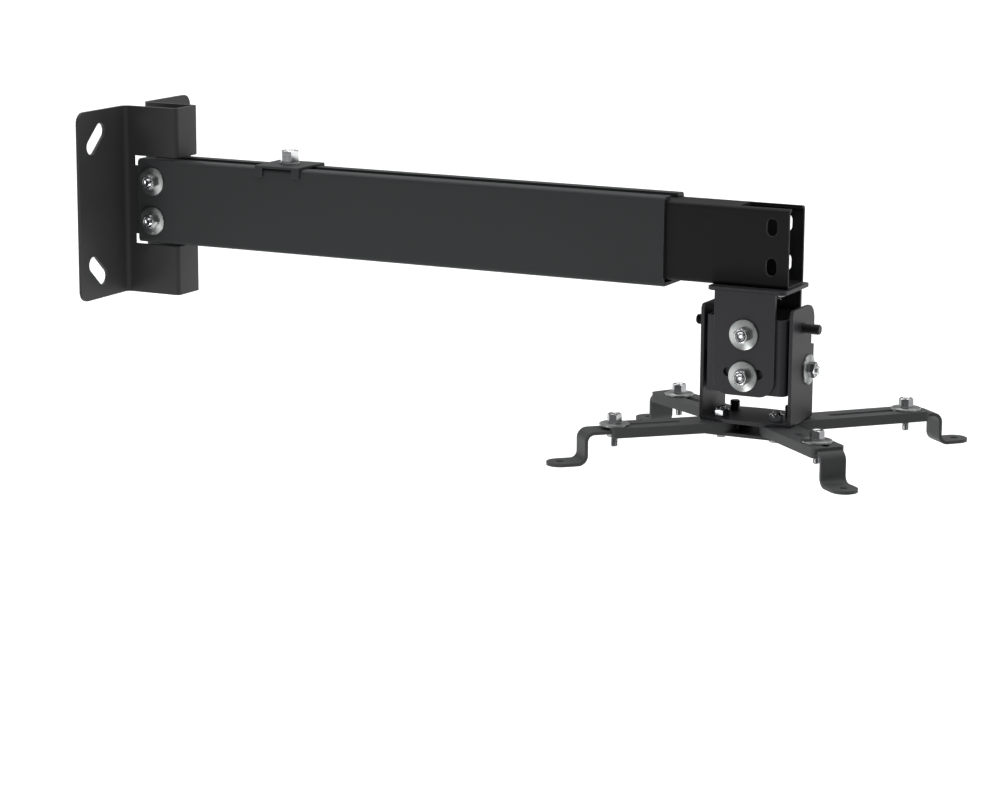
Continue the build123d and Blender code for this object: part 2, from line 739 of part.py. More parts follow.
def spider_arm(name):
    """Channel with a round inner end on the hub bolt and a long slot for the foot."""
    _, reach, _, _, side_y = spider_arms[name]
    hub_radius = m5_radius if side_y < 0 else m6_radius
    half = spider_width / 2
    slot_end = reach - spider_slot_margin
    with BuildPart() as channel:
        with BuildSketch(arm_plane(name, 0, spider_bottom)):
            Circle(half)
            with Locations((reach / 2, 0)):
                Rectangle(reach, spider_width)
        extrude(amount=spider_height)
        far_corners = channel.edges().filter_by(Axis.Z).sort_by_distance(along(name, reach, 0))[:2]
        fillet(far_corners, radius=spider_end_corner)
        with BuildSketch(arm_plane(name, 0, spider_bottom)):
            Circle(half - thin_sheet)
            with Locations((reach / 2, 0)):
                Rectangle(reach, spider_width - 2 * thin_sheet)
        extrude(amount=spider_height - thin_sheet, mode=Mode.SUBTRACT)
        with BuildSketch(arm_plane(name, 0, spider_underside)):
            Circle(hub_radius + pin_gap)
            with Locations(((spider_slot_start + slot_end) / 2, 0)):
                SlotOverall(slot_end - spider_slot_start, spider_slot_width)
        extrude(amount=thin_sheet, mode=Mode.SUBTRACT)
    return channel


def spider_foot(name):
    """Strip folded down and out, with a bolt hole in its upper run and a holed round toe."""
    face = spider_arms[name][2] + foot_bolt_inset
    middle = sheet / 2
    toe_centre = foot_toe - foot_width / 2
    with BuildPart() as strip:
        with BuildSketch(arm_side_plane(name, face, foot_top)):
            with BuildLine() as fold_line:
                FilletPolyline(
                    (-foot_run, -middle),
                    (-middle, -middle),
                    (-middle, middle - foot_drop),
                    (foot_toe, middle - foot_drop),
                    radius=foot_bend_radius + middle,
                )
            trace(fold_line.line, line_width=sheet)
        extrude(amount=foot_width / 2, both=True)
        with BuildSketch(arm_plane(name, face, foot_top - foot_drop)):
            with Locations((toe_centre, 0)):
                Rectangle(foot_width, foot_width, align=(Align.MIN, Align.CENTER))
                Circle(foot_width / 2, mode=Mode.SUBTRACT)
                Circle(foot_hole_radius)
        extrude(amount=sheet, mode=Mode.SUBTRACT)
        with BuildSketch(arm_plane(name, face, foot_top - sheet)):
            with Locations((-foot_bolt_inset, 0)):
                Circle(m4_radius + pin_gap)
        extrude(amount=sheet, mode=Mode.SUBTRACT)
    return strip


# Spider arms, feet and their clamp bolts
for arm_name in spider_arms:
    bolt_place = spider_arms[arm_name][2]
    save(f"spider_arm_{arm_name}", spider_arm(arm_name))
    save(f"foot_{arm_name}", spider_foot(arm_name))
    with BuildPart() as foot_washer:
        seat = arm_plane(arm_name, bolt_place, foot_seat)
        add(washer(seat, washer_radius, m4_radius + pin_gap, washer_thickness))
    save(f"foot_washer_{arm_name}", foot_washer)
    with BuildPart() as foot_bolt:
        seat = arm_plane(arm_name, bolt_place, foot_head_seat)
        bolt_reach = foot_head_seat - spider_top + m4_length_below
        add(hex_bolt(seat, m4_flats, m4_head, m4_radius, bolt_reach))
    save(f"foot_bolt_{arm_name}", foot_bolt)
    with BuildPart() as foot_nut:
        seat = arm_plane(arm_name, bolt_place, foot_top - sheet, -1)
        add(hex_nut(seat, m4_flats, m4_nut, m4_radius))
    save(f"foot_nut_{arm_name}", foot_nut)
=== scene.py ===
import json
import math

import bmesh
import bpy
from mathutils import Matrix, Vector


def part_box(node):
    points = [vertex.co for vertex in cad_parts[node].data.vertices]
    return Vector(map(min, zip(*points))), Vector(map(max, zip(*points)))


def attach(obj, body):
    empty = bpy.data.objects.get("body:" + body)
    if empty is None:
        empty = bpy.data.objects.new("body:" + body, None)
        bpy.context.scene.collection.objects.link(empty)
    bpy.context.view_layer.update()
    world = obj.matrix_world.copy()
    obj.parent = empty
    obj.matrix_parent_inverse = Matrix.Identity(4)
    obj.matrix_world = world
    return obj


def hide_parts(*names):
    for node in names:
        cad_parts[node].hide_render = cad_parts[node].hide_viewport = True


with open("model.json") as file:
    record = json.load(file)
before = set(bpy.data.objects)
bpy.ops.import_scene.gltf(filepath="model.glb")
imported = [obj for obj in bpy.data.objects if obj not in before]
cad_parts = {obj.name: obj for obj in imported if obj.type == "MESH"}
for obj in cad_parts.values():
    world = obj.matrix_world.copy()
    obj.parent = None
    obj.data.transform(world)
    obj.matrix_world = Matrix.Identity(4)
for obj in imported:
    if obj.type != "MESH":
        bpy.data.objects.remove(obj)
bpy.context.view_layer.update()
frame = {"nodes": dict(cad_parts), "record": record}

# Everything is in metres, in the CAD frame: +X out from the wall, +Z up.
MM = 0.001
SPIDER_NAMES = ("left", "right", "front", "back")
HEAD_MIDDLE = (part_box("yoke")[0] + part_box("yoke")[1]) / 2

# The record's material slots
WASHER_SLOT = "zinc_washer"
ZINC_SLOT = "bright_zinc"
BLACK_SLOT = "black_steel"

# Camera at the photograph's viewing angle
IMAGE_WIDTH = 1000
SENSOR_WIDTH_MM = 36.0
FOCAL_PIXELS = 3067.6
CAMERA_AZIMUTH = math.radians(26.618)
CAMERA_ELEVATION = math.radians(11.862)
CAMERA_ROLL = math.radians(0.3)
CAMERA_PLACE = Vector((1.033345, -1.562296, 0.262598))

# Surroundings: how strongly each direction glows; a step is where one part passes into the next
BRIGHT_SIDE = (-0.15, 0.99, 0.0)
SIDE_STEP = (-0.55, 0.1)
DIM_GLOW = 0.25
BRIGHT_GLOW = 1.35
HORIZON_STEP = (-0.05, 0.1)
HORIZON_SHARE = 0.33
TOP_STEP = (0.5, 0.9)
TOP_GLOW = 1.3
STRIPES = 9
STRIPE_DEPTH = 0.65
WINDOW_SIDE = (-0.455, -0.873, -0.175)
WINDOW_STEP = (math.cos(math.radians(12)), math.cos(math.radians(6.5)))
WINDOW_GLOW = 1.7

# Floor
FLOOR_REACH = 12.0
FLOOR_HEIGHT = -0.6
FLOOR_TONE = 0.93
FLOOR_GLOW = 0.35
FLOOR_ROUGHNESS = 0.9

# Middle of a noise texture's values
NOISE_MIDDLE = 0.5

# Powder coat: parts of its grain and of its tone, how the painted highlights on its edges are
# found and spread, and how much glossier the edges are
SPECK_SHARE = 0.35
TONE_FROM_GRAIN = 0.6
TONE_FROM_CLOUDS = 0.4
COAT_RELIEF_DEPTH = 0.06 * MM
EDGE_SAMPLES = 4
EDGE_BEND = (1.0, 0.8)
EDGE_PATCHES = (0.35, 0.65)
LEAST_EDGE_HIGHLIGHT = 0.35
EDGE_GLOSS = 0.12

# Plated steel: parts of its relief, the run of its scratches, and the way of a turned finish
RELIEF_FROM_SCRATCHES = 0.6
RELIEF_FROM_PATCHES = 0.4
PLATE_RELIEF_DEPTH = 0.05 * MM
SCRATCH_STRETCH = (1.0, 0.08, 1.0)
ROUND_THE_RING = 0.25

# Sockets of a Mix node for colours, which share their names with those of its other kinds
MIX_FIRST_COLOUR = 6
MIX_SECOND_COLOUR = 7
MIX_COLOUR = 2

# Fasteners: thread radius, width across flats and thread pitch
M4 = {"radius": 2.0 * MM, "flats": 7.2 * MM, "pitch": 0.7 * MM}
M5 = {"radius": 2.5 * MM, "flats": 8.0 * MM, "pitch": 0.8 * MM}
M6 = {"radius": 3.0 * MM, "flats": 10.0 * MM, "pitch": 1.0 * MM}

# Heights of the bolt heads in the CAD; the hub's real heads are lower
M5_HEAD = 3.5 * MM
M6_HEAD = 4.0 * MM
SADDLE_HEAD = 6.8 * MM
FOOT_HEAD = 5.4 * MM
HUB_HEAD_SHARE = 0.6

# Play between a thread and the hole round it
CLOSE_PLAY = 0.1 * MM
FOOT_PLAY = 0.15 * MM
LOOSE_PLAY = 0.25 * MM

# Hexagons of nuts and heads: their turn, turned corners, and the nut's bore and outer face
HEAD_TURN = math.radians(9)
NUT_TURN = math.radians(37)
CORNER_SHARE = 0.97
CORNER_SLOPE = math.tan(math.radians(30))
SUNK_BORE = 0.4 * MM
NUT_CROWN = 0.2 * MM
CROWN_STEPS = 4

# Bolt heads: middle of the underside as a share of the thread, and a shallow dish in the top
SEAT_SHARE = 0.9
DISH_SHARE = 0.36
DISH_DEPTH = 0.35 * MM
DISH_SLOPE = 0.4 * MM
DISH_MIDDLE = 0.3

# Threads, in pitches, and the width of the end's hollow as a share of the thread
THREAD_DEPTH = 0.6
THREAD_CHAMFER = 0.7
END_HOLLOW_DEPTH = 0.25
END_HOLLOW_SHARE = 0.5

# Washers: the edge drawn round by the stamp, the burr, and half a turn in their UV map
DRAWN_EDGE = 0.35 * MM
DRAWN_SHARE = 0.35
DRAWN_CORNER = 0.3
BURR = 0.12 * MM
HALF_TURN = 0.5

# Fineness of the meshes, and what counts as one point, one place and a sharp edge
RING_STEPS = 48
THREAD_STEPS = 24
RINGS_PER_PITCH = 6
WELD = 1e-6
SHEET_WELD = 2e-6
PLACE_DIGITS = 5
SHARP_ANGLE = math.radians(28)

# Rounding of the cut edges of the sheet steel
SHEET_EDGE = 0.22 * MM
HEAD_EDGE = 0.45 * MM
SHEET_EDGE_STEPS = 2
SHEET_EDGE_ANGLE = math.radians(32)
FLAT_ANGLE = math.radians(0.5)


# Shader nodes

def node(tree, kind, **settings):
    """New node with its settings, such as operation="MULTIPLY"."""
    made = tree.nodes.new(kind)
    for key, value in settings.items():
        setattr(made, key, value)
    return made


def feed(tree, value, socket):
    """Gives a socket its input: another socket to link, or a number."""
    if isinstance(value, (int, float)):
        socket.default_value = value
    else:
        tree.links.new(value, socket)


def math_node(tree, operation, first, second=0.0, clamp=False):
    """Result of a Math node on sockets or numbers."""
    made = node(tree, "ShaderNodeMath", operation=operation, use_clamp=clamp)
    feed(tree, first, made.inputs[0])
    feed(tree, second, made.inputs[1])
    return made.outputs[0]


def plus(tree, first, second, clamp=False):
    """Sum of two sockets or numbers."""
    return math_node(tree, "ADD", first, second, clamp)


def minus(tree, first, second, clamp=False):
    """Difference of two sockets or numbers."""
    return math_node(tree, "SUBTRACT", first, second, clamp)


def times(tree, first, second):
    """Product of two sockets or numbers."""
    return math_node(tree, "MULTIPLY", first, second)


def span(tree, value, step, results):
    """Passes from the first result to the second while the value crosses the step."""
    made = node(tree, "ShaderNodeMapRange", clamp=True)
    tree.links.new(value, made.inputs["Value"])
    made.inputs["From Min"].default_value, made.inputs["From Max"].default_value = step
    made.inputs["To Min"].default_value, made.inputs["To Max"].default_value = results
    return made.outputs["Result"]


def likeness(tree, first, second):
    """Dot product of two directions; the second is a socket or three numbers."""
    made = node(tree, "ShaderNodeVectorMath", operation="DOT_PRODUCT")
    tree.links.new(first, made.inputs[0])
    if isinstance(second, tuple):
        made.inputs[1].default_value = second
    else:
        tree.links.new(second, made.inputs[1])
    return made.outputs["Value"]


def noise(tree, scale, detail, roughness=0.5, stretch=None):
    """Noise texture on object coordinates; scale is a socket or a number."""
    place = node(tree, "ShaderNodeTexCoord").outputs["Object"]
    if stretch:
        mapping = node(tree, "ShaderNodeMapping")
        mapping.inputs["Scale"].default_value = stretch
        tree.links.new(place, mapping.inputs["Vector"])
        place = mapping.outputs["Vector"]
    texture = node(tree, "ShaderNodeTexNoise")
    tree.links.new(place, texture.inputs["Vector"])
    feed(tree, scale, texture.inputs["Scale"])
    texture.inputs["Detail"].default_value = detail
    texture.inputs["Roughness"].default_value = roughness
    return texture.outputs["Fac"]


# Shader node groups

def new_group(name, inputs, outputs):
    """Empty shader group with its input node and output node; all of its sockets are floats."""
    group = bpy.data.node_groups.new(name, "ShaderNodeTree")
    for label, value in inputs.items():
        socket = group.interface.new_socket(
            name=label, in_out="INPUT", socket_type="NodeSocketFloat"
        )
        socket.default_value = value
    for label in outputs:
        group.interface.new_socket(name=label, in_out="OUTPUT", socket_type="NodeSocketFloat")
    return group, group.nodes.new("NodeGroupInput"), group.nodes.new("NodeGroupOutput")


def powder_grain_group():
    """Fine orange-peel of powder coat: its height, a slight change of tone, and of gloss."""
    group, source, sink = new_group(
        "powder_grain",
        {"Grain Scale": 1800.0, "Tone Change": 0.12, "Gloss Change": 0.08},
        ("Height", "Tone", "Gloss"),
    )
    grain = noise(group, source.outputs["Grain Scale"], detail=3.0, roughness=0.6)
    clouds = noise(group, scale=28.0, detail=2.0)
    speck = noise(group, scale=5200.0, detail=1.0)
    height = plus(group, grain, times(group, speck, SPECK_SHARE))
    group.links.new(height, sink.inputs["Height"])
    spread = plus(
        group,
        times(group, grain, TONE_FROM_GRAIN),
        times(group, clouds, TONE_FROM_CLOUDS),
    )
    centred = minus(group, spread, NOISE_MIDDLE)
    change = times(group, centred, source.outputs["Tone Change"])
    group.links.new(plus(group, change, 1.0), sink.inputs["Tone"])
    gloss = times(group, minus(group, clouds, NOISE_MIDDLE), source.outputs["Gloss Change"])
    group.links.new(gloss, sink.inputs["Gloss"])
    return group


def painted_edge_highlight_group():
    """Mask of the outer edges, in patches, where a lighter colour is painted on as a highlight.
    """
    group, source, sink = new_group("painted_edge_highlight", {"Reach": 0.5 * MM, "Amount": 1.0}, ("Mask",))
    rounded = node(group, "ShaderNodeBevel", samples=EDGE_SAMPLES)
    group.links.new(source.outputs["Reach"], rounded.inputs["Radius"])
    surface = node(group, "ShaderNodeNewGeometry")
    alike = likeness(group, rounded.outputs["Normal"], surface.outputs["Normal"])
    bend = span(group, alike, EDGE_BEND, (0.0, 1.0))
    clouds = noise(group, scale=240.0, detail=3.0)
    # The painted edge highlight comes and goes in patches
    patches = span(group, clouds, EDGE_PATCHES, (LEAST_EDGE_HIGHLIGHT, 1.0))
    mask = times(group, times(group, bend, patches), source.outputs["Amount"])
    group.links.new(mask, sink.inputs["Mask"])
    return group


def zinc_bloom_group():
    """Cloudy zinc plate: patches of tone, of gloss, and a faint relief."""
    group, source, sink = new_group(
        "zinc_bloom",
        {"Patch Scale": 320.0, "Tone Change": 0.25, "Gloss Change": 0.2},
        ("Tone", "Gloss", "Height"),
    )
    patches = noise(group, source.outputs["Patch Scale"], detail=4.0, roughness=0.55)
    scratches = noise(group, scale=900.0, detail=2.0, stretch=SCRATCH_STRETCH)
    centred = minus(group, patches, NOISE_MIDDLE)
    change = times(group, centred, source.outputs["Tone Change"])
    group.links.new(plus(group, change, 1.0), sink.inputs["Tone"])
    gloss = times(group, centred, source.outputs["Gloss Change"])
    group.links.new(gloss, sink.inputs["Gloss"])
    height = plus(
        group,
        times(group, scratches, RELIEF_FROM_SCRATCHES),
        times(group, patches, RELIEF_FROM_PATCHES),
    )
    group.links.new(height, sink.inputs["Height"])
    return group


POWDER_GRAIN = powder_grain_group()
PAINTED_EDGE_HIGHLIGHT = painted_edge_highlight_group()
ZINC_BLOOM = zinc_bloom_group()


# Materials

def new_material(name):
    """Material with its node tree and its shader."""
    material = bpy.data.materials.new(name)
    material.use_nodes = True
    return material, material.node_tree, material.node_tree.nodes["Principled BSDF"]


def place_group(tree, group, values):
    """Group node whose inputs of these names have these values."""
    made = node(tree, "ShaderNodeGroup", node_tree=group)
    for label, value in values.items():
        made.inputs[label].default_value = value
    return made


def tinted(tree, colour, factor):
    """Colour times a tone factor."""
    made = node(tree, "ShaderNodeVectorMath", operation="SCALE")
    made.inputs[0].default_value = colour
    tree.links.new(factor, made.inputs["Scale"])
    return made.outputs["Vector"]


def raise_relief(tree, shader, height, strength, depth):
    """Relief on a shader; depth is how high a height of 1 stands."""
    bump = node(tree, "ShaderNodeBump")
    bump.inputs["Strength"].default_value = strength
    bump.inputs["Distance"].default_value = depth
    tree.links.new(height, bump.inputs["Height"])
    tree.links.new(bump.outputs["Normal"], shader.inputs["Normal"])


def powder_coat(
    name, colour, roughness, shine, grain_scale, relief, edge_highlight_colour, edge_highlight_amount
):
    """Satin powder coat on sheet steel, with painted highlights along its edges."""
    material, tree, shader = new_material(name)
    shader.inputs["Specular IOR Level"].default_value = shine
    grain = place_group(tree, POWDER_GRAIN, {"Grain Scale": grain_scale})
    painted_edges = place_group(tree, PAINTED_EDGE_HIGHLIGHT, {"Amount": edge_highlight_amount})
    # Painted highlight: the lighter edge colour is mixed into the base colour where the edge mask
    # is
    mix = node(tree, "ShaderNodeMix", data_type="RGBA")
    tree.links.new(painted_edges.outputs["Mask"], mix.inputs["Factor"])
    tree.links.new(tinted(tree, colour, grain.outputs["Tone"]), mix.inputs[MIX_FIRST_COLOUR])
    mix.inputs[MIX_SECOND_COLOUR].default_value = (*edge_highlight_colour, 1.0)
    tree.links.new(mix.outputs[MIX_COLOUR], shader.inputs["Base Color"])
    rough = plus(tree, grain.outputs["Gloss"], roughness, clamp=True)
    glossier_edges = times(tree, painted_edges.outputs["Mask"], EDGE_GLOSS)
    tree.links.new(minus(tree, rough, glossier_edges, clamp=True), shader.inputs["Roughness"])
    raise_relief(tree, shader, grain.outputs["Height"], relief, COAT_RELIEF_DEPTH)
    return material


def plated_steel(
    name, colour, roughness, patch_scale, tone_change, relief, metallic=1.0, turned=0.0
):
    """Zinc-plated or blackened steel; turned is how strongly the gloss runs round the ring."""
    material, tree, shader = new_material(name)
    shader.inputs["Metallic"].default_value = metallic
    if turned:
        shader.inputs["Anisotropic"].default_value = turned
        shader.inputs["Anisotropic Rotation"].default_value = ROUND_THE_RING
        round_way = node(tree, "ShaderNodeTangent", direction_type="UV_MAP")
        tree.links.new(round_way.outputs["Tangent"], shader.inputs["Tangent"])
    bloom = place_group(
        tree, ZINC_BLOOM, {"Patch Scale": patch_scale, "Tone Change": tone_change}
    )
    tree.links.new(tinted(tree, colour, bloom.outputs["Tone"]), shader.inputs["Base Color"])
    rough = plus(tree, bloom.outputs["Gloss"], roughness, clamp=True)
    tree.links.new(rough, shader.inputs["Roughness"])
    raise_relief(tree, shader, bloom.outputs["Height"], relief, PLATE_RELIEF_DEPTH)
    return material


# Each coat's edge colour is a painted highlight along its edges
PLATE_PAINT = powder_coat(
    "plate_paint",
    colour=(0.04, 0.04, 0.042),
    roughness=0.5,
    shine=0.3,
    grain_scale=1700.0,
    relief=0.25,
    edge_highlight_colour=(0.12, 0.12, 0.125),
    edge_highlight_amount=0.6,
)
SLEEVE_PAINT = powder_coat(
    "sleeve_paint",
    colour=(0.044, 0.048, 0.049),
    roughness=0.54,
    shine=0.16,
    grain_scale=1900.0,
    relief=0.22,
    edge_highlight_colour=(0.15, 0.155, 0.155),
    edge_highlight_amount=0.8,
)
ARM_PAINT = powder_coat(
    "arm_paint",
    colour=(0.017, 0.017, 0.018),
    roughness=0.52,
    shine=0.1,
    grain_scale=2200.0,
    relief=0.15,
    edge_highlight_colour=(0.16, 0.16, 0.165),
    edge_highlight_amount=1.0,
)
BRACKET_PAINT = powder_coat(
    "bracket_paint",
    colour=(0.034, 0.033, 0.037),
    roughness=0.46,
    shine=0.28,
    grain_scale=2000.0,
    relief=0.2,
    edge_highlight_colour=(0.14, 0.14, 0.15),
    edge_highlight_amount=0.9,
)
SPIDER_PAINT = powder_coat(
    "spider_paint",
    colour=(0.064, 0.066, 0.067),
    roughness=0.52,
    shine=0.24,
    grain_scale=1900.0,
    relief=0.22,
    edge_highlight_colour=(0.13, 0.13, 0.135),
    edge_highlight_amount=0.6,
)

# Finishes of the hardware, by the record's material slot
HARDWARE = {
    WASHER_SLOT: plated_steel(
        "zinc_washer",
        colour=(0.4, 0.42, 0.41),
        roughness=0.34,
        patch_scale=300.0,
        tone_change=0.3,
        relief=0.25,
        turned=0.85,
    ),
    ZINC_SLOT: plated_steel(
        "bright_zinc",
        colour=(0.58, 0.59, 0.6),
        roughness=0.13,
        patch_scale=420.0,
        tone_change=0.2,
        relief=0.12,
    ),
    BLACK_SLOT: plated_steel(
        "black_steel",
        colour=(0.03, 0.03, 0.032),
        roughness=0.38,
        patch_scale=500.0,
        tone_change=0.3,
        relief=0.2,
        metallic=0.7,
    ),
}


# Objects and the CAD's nodes

def put_in_scene(name, data):
    """New object in the scene's collection."""
    made = bpy.data.objects.new(name, data)
    bpy.context.scene.collection.objects.link(made)
    return made


def mesh_from(name, builder):
    """Mesh made from a bmesh, which is freed."""
    mesh = bpy.data.meshes.new(name)
    builder.to_mesh(mesh)
    builder.free()
    return mesh


def body_of_node(node_name):
    """The CAD body that a node belongs to."""
    for body, members in frame["record"]["behaviour"]["bodies"].items():
        if node_name in members:
            return body
    raise KeyError(node_name)


def new_piece(node_name, ending, builder, finish):
    """Turns a bmesh into a shaded object that rides with its CAD node and stands for it."""
    bmesh.ops.recalc_face_normals(builder, faces=builder.faces)
    for face in builder.faces:
        face.smooth = True
    for edge in builder.edges:
        if len(edge.link_faces) == 2 and edge.calc_face_angle(0.0) > SHARP_ANGLE:
            edge.smooth = False
    name = f"{node_name}_{ending}"
    mesh = mesh_from(name, builder)
    mesh.materials.append(finish)
    piece = put_in_scene(name, mesh)
    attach(piece, body_of_node(node_name))
    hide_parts(node_name)
    return piece


def solids_of(node_name):
    """Centre and extents of each separate solid in a CAD node."""
    builder = bmesh.new()
    builder.from_mesh(frame["nodes"][node_name].data)
    bmesh.ops.remove_doubles(builder, verts=builder.verts, dist=WELD)
    left = set(builder.verts)
    found = []
    while left:
        stack = [left.pop()]
        points = []
        while stack:
            vertex = stack.pop()
            points.append(vertex.co.copy())
            for edge in vertex.link_edges:
                other = edge.other_vert(vertex)
                if other in left:
                    left.remove(other)
                    stack.append(other)
        low = Vector(min(p[i] for p in points) for i in range(3))
        high = Vector(max(p[i] for p in points) for i in range(3))
        found.append(((low + high) / 2, high - low))
    builder.free()
    found.sort(key=lambda solid: tuple(round(c, PLACE_DIGITS) for c in solid[0]))
    return found


# Shapes made of rings along +Z, placed by a matrix

def standing(place, direction, turn=0.0):
    """Matrix that stands a shape made along +Z at a place, along a direction."""
    tilt = Vector((0, 0, 1)).rotation_difference(direction).to_matrix().to_4x4()
    return Matrix.Translation(place) @ tilt @ Matrix.Rotation(turn, 4, "Z")


def ring(builder, matrix, radius_at, height_at, steps=RING_STEPS):
    """Closed ring of vertices; radius and height are numbers or functions of the angle."""
    made = []
    for step in range(steps):
        angle = 2 * math.pi * step / steps
        radius = radius_at(angle) if callable(radius_at) else radius_at
        height = height_at(angle) if callable(height_at) else height_at
        point = Vector((radius * math.cos(angle), radius * math.sin(angle), height))
        made.append(builder.verts.new(matrix @ point))
    return made


def skin(builder, rings):
    """Faces between neighbouring rings."""
    for first, second in zip(rings, rings[1:]):
        count = len(first)
        for step in range(count):
            after = (step + 1) % count
            builder.faces.new((first[step], first[after], second[after], second[step]))


def close_tube(builder, rings):
    """Skin over rings that come back to the first one, as round a washer's hole."""
    skin(builder, [*rings, rings[0]])


def close_rod(builder, rings):
    """Skin over rings with a flat face at each end."""
    skin(builder, rings)
    builder.faces.new(rings[0])
    builder.faces.new(rings[-1])


def turned_hexagon(flats, height):
    """A hexagon's radius at an angle, where its turned corners start, and its end heights."""
    sixth = math.pi / 3
    corner_start = flats / 2 * CORNER_SHARE

    def radius(angle):
        offset = (angle % sixth) - sixth / 2
        return flats / 2 / math.cos(offset)

    def low(angle):
        return (radius(angle) - corner_start) * CORNER_SLOPE

    def high(angle):
        return height - low(angle)
    return radius, corner_start, low, high


def add_nut(builder, matrix, size, height):
    """Hexagon nut with turned corners, a countersunk bore and a rounded outer face."""
    radius, corner_start, low, high = turned_hexagon(size["flats"], height - NUT_CROWN)
    bore = size["radius"] + CLOSE_PLAY
    bore_rim = bore + SUNK_BORE
    rings = [
        ring(builder, matrix, bore, SUNK_BORE),
        ring(builder, matrix, bore_rim, 0.0),
        ring(builder, matrix, corner_start, 0.0),
        ring(builder, matrix, radius, low),
        ring(builder, matrix, radius, high),
    ]
    for step in range(CROWN_STEPS + 1):
        share = step / CROWN_STEPS
        across = corner_start + (bore_rim - corner_start) * share
        crown = height - NUT_CROWN * (2 * share - 1) ** 2
        rings.append(ring(builder, matrix, across, crown))
    rings.append(ring(builder, matrix, bore, height - NUT_CROWN - SUNK_BORE))
    close_tube(builder, rings)


def add_head(builder, matrix, size, height):
    """Hexagon bolt head with turned corners and a shallow dish in its top."""
    radius, corner_start, low, high = turned_hexagon(size["flats"], height)
    rim = size["flats"] * DISH_SHARE
    dish = height - DISH_DEPTH
    close_rod(builder, [
        ring(builder, matrix, size["radius"] * SEAT_SHARE, 0.0),
        ring(builder, matrix, corner_start, 0.0),
        ring(builder, matrix, radius, low),
        ring(builder, matrix, radius, high),
        ring(builder, matrix, corner_start, height),
        ring(builder, matrix, rim, height),
        ring(builder, matrix, rim - DISH_SLOPE, dish),
        ring(builder, matrix, rim * DISH_MIDDLE, dish),
    ])


def add_thread(builder, matrix, size, length, both_ends=False):
    """Threaded rod along +Z from 0 to length, with a chamfered and hollowed free end."""
    pitch = size["pitch"]
    outer = size["radius"]
    depth = THREAD_DEPTH * pitch
    chamfer = THREAD_CHAMFER * pitch
    count = max(2, round(length / pitch * RINGS_PER_PITCH))
    rings = []
    for index in range(count + 1):
        height = length * index / count
        near_end = length - height
        if both_ends:
            near_end = min(near_end, height)
        limit = outer - max(0.0, chamfer - near_end)

        def radius(angle, height=height, limit=limit):
            phase = (height / pitch - angle / (2 * math.pi)) % 1.0
            valley = abs(2 * phase - 1)
            return min(limit, outer - depth * (1 - valley))
        rings.append(ring(builder, matrix, radius, height, THREAD_STEPS))
    hollow = length - END_HOLLOW_DEPTH * pitch
    rings.append(ring(builder, matrix, outer * END_HOLLOW_SHARE, hollow, THREAD_STEPS))
    close_rod(builder, rings)


def wrap_round(builder, matrix, rings):
    """UV map that runs round the rings, so that the finish follows them."""
    layer = builder.loops.layers.uv.verify()
    inverse = matrix.inverted()
    own = {vertex for made in rings for vertex in made}
    for face in builder.faces:
        if face.verts[0] not in own:
            continue
        points = [inverse @ loop.vert.co for loop in face.loops]
        turns = [math.atan2(point.y, point.x) / (2 * math.pi) for point in points]
        last = max(turns)
        for loop, point, turn in zip(face.loops, points, turns):
            if last - turn > HALF_TURN:
                turn += 1.0
            loop[layer].uv = (turn, math.hypot(point.x, point.y) / MM + point.z / MM)


def add_washer(builder, matrix, outer, inner, thickness):
    """Stamped washer: one edge drawn round, the other with a small burr."""
    soft = min(DRAWN_EDGE, thickness * DRAWN_SHARE)
    corner = soft * DRAWN_CORNER
    rings = [
        ring(builder, matrix, inner, BURR),
        ring(builder, matrix, inner + BURR, 0.0),
        ring(builder, matrix, outer - BURR, 0.0),
        ring(builder, matrix, outer, BURR),
        ring(builder, matrix, outer, thickness - soft),
        ring(builder, matrix, outer - corner, thickness - corner),
        ring(builder, matrix, outer - soft, thickness),
        ring(builder, matrix, inner + soft, thickness),
        ring(builder, matrix, inner, thickness - soft),
    ]
    close_tube(builder, rings)
    wrap_round(builder, matrix, rings)


# Directions in which the fasteners of a CAD node point

def steady(x, y, z):
    """The same direction for each fastener."""
    return lambda centre: Vector((x, y, z))


def away_in(axis, sign=1):
    """Away from the head's middle along one axis, or towards it with sign -1."""
    def direction(centre):
        made = Vector((0, 0, 0))
        made[axis] = sign if centre[axis] > HEAD_MIDDLE[axis] else -sign
        return made
    return direction


def away_from_arm(centre):
    """Outward on the sleeve's near or far wall."""
    return Vector((0, 1 if centre.y > 0 else -1, 0))


X, Y = 0, 1
UP = steady(0, 0, 1)
DOWN = steady(0, 0, -1)
NEAR = steady(0, -1, 0)
FAR = steady(0, 1, 0)


# Fasteners

def extent_along(extents, direction):
    """Length of a solid along a direction that lies on an axis."""
    return sum(abs(d) * e for d, e in zip(direction, extents))


def build_bolts(node_name, size, head, pointing, slot=ZINC_SLOT, shown=1.0):
    """A node's bolts; head is the head's height in the CAD, and shown is the share kept of it."""
    builder = bmesh.new()
    for index, (centre, extents) in enumerate(solids_of(node_name)):
        direction = pointing(centre)
        length = extent_along(extents, direction)
        seat = centre + direction * (length / 2 - head)
        turn = HEAD_TURN + index * NUT_TURN
        add_head(builder, standing(seat, direction, turn), size, head * shown)
        add_thread(builder, standing(seat, -direction), size, length - head)
    new_piece(node_name, "threaded", builder, HARDWARE[slot])


def build_nuts(node_name, size, pointing, slot=ZINC_SLOT):
    """A node's nuts, each at a turn of its own."""
    builder = bmesh.new()
    for index, (centre, extents) in enumerate(solids_of(node_name)):
        direction = pointing(centre)
        height = extent_along(extents, direction)
        seat = centre - direction * height / 2
        add_nut(builder, standing(seat, direction, index * NUT_TURN), size, height)
    new_piece(node_name, "turned", builder, HARDWARE[slot])


def build_washers(node_name, size, play, pointing):
    """A node's washers, with their holes wider than the thread by the play."""
    builder = bmesh.new()
    for centre, extents in solids_of(node_name):
        direction = pointing(centre)
        thickness = extent_along(extents, direction)
        seat = centre - direction * thickness / 2
        hole = size["radius"] + play
        add_washer(builder, standing(seat, direction), max(extents) / 2, hole, thickness)
    new_piece(node_name, "stamped", builder, HARDWARE[WASHER_SLOT])


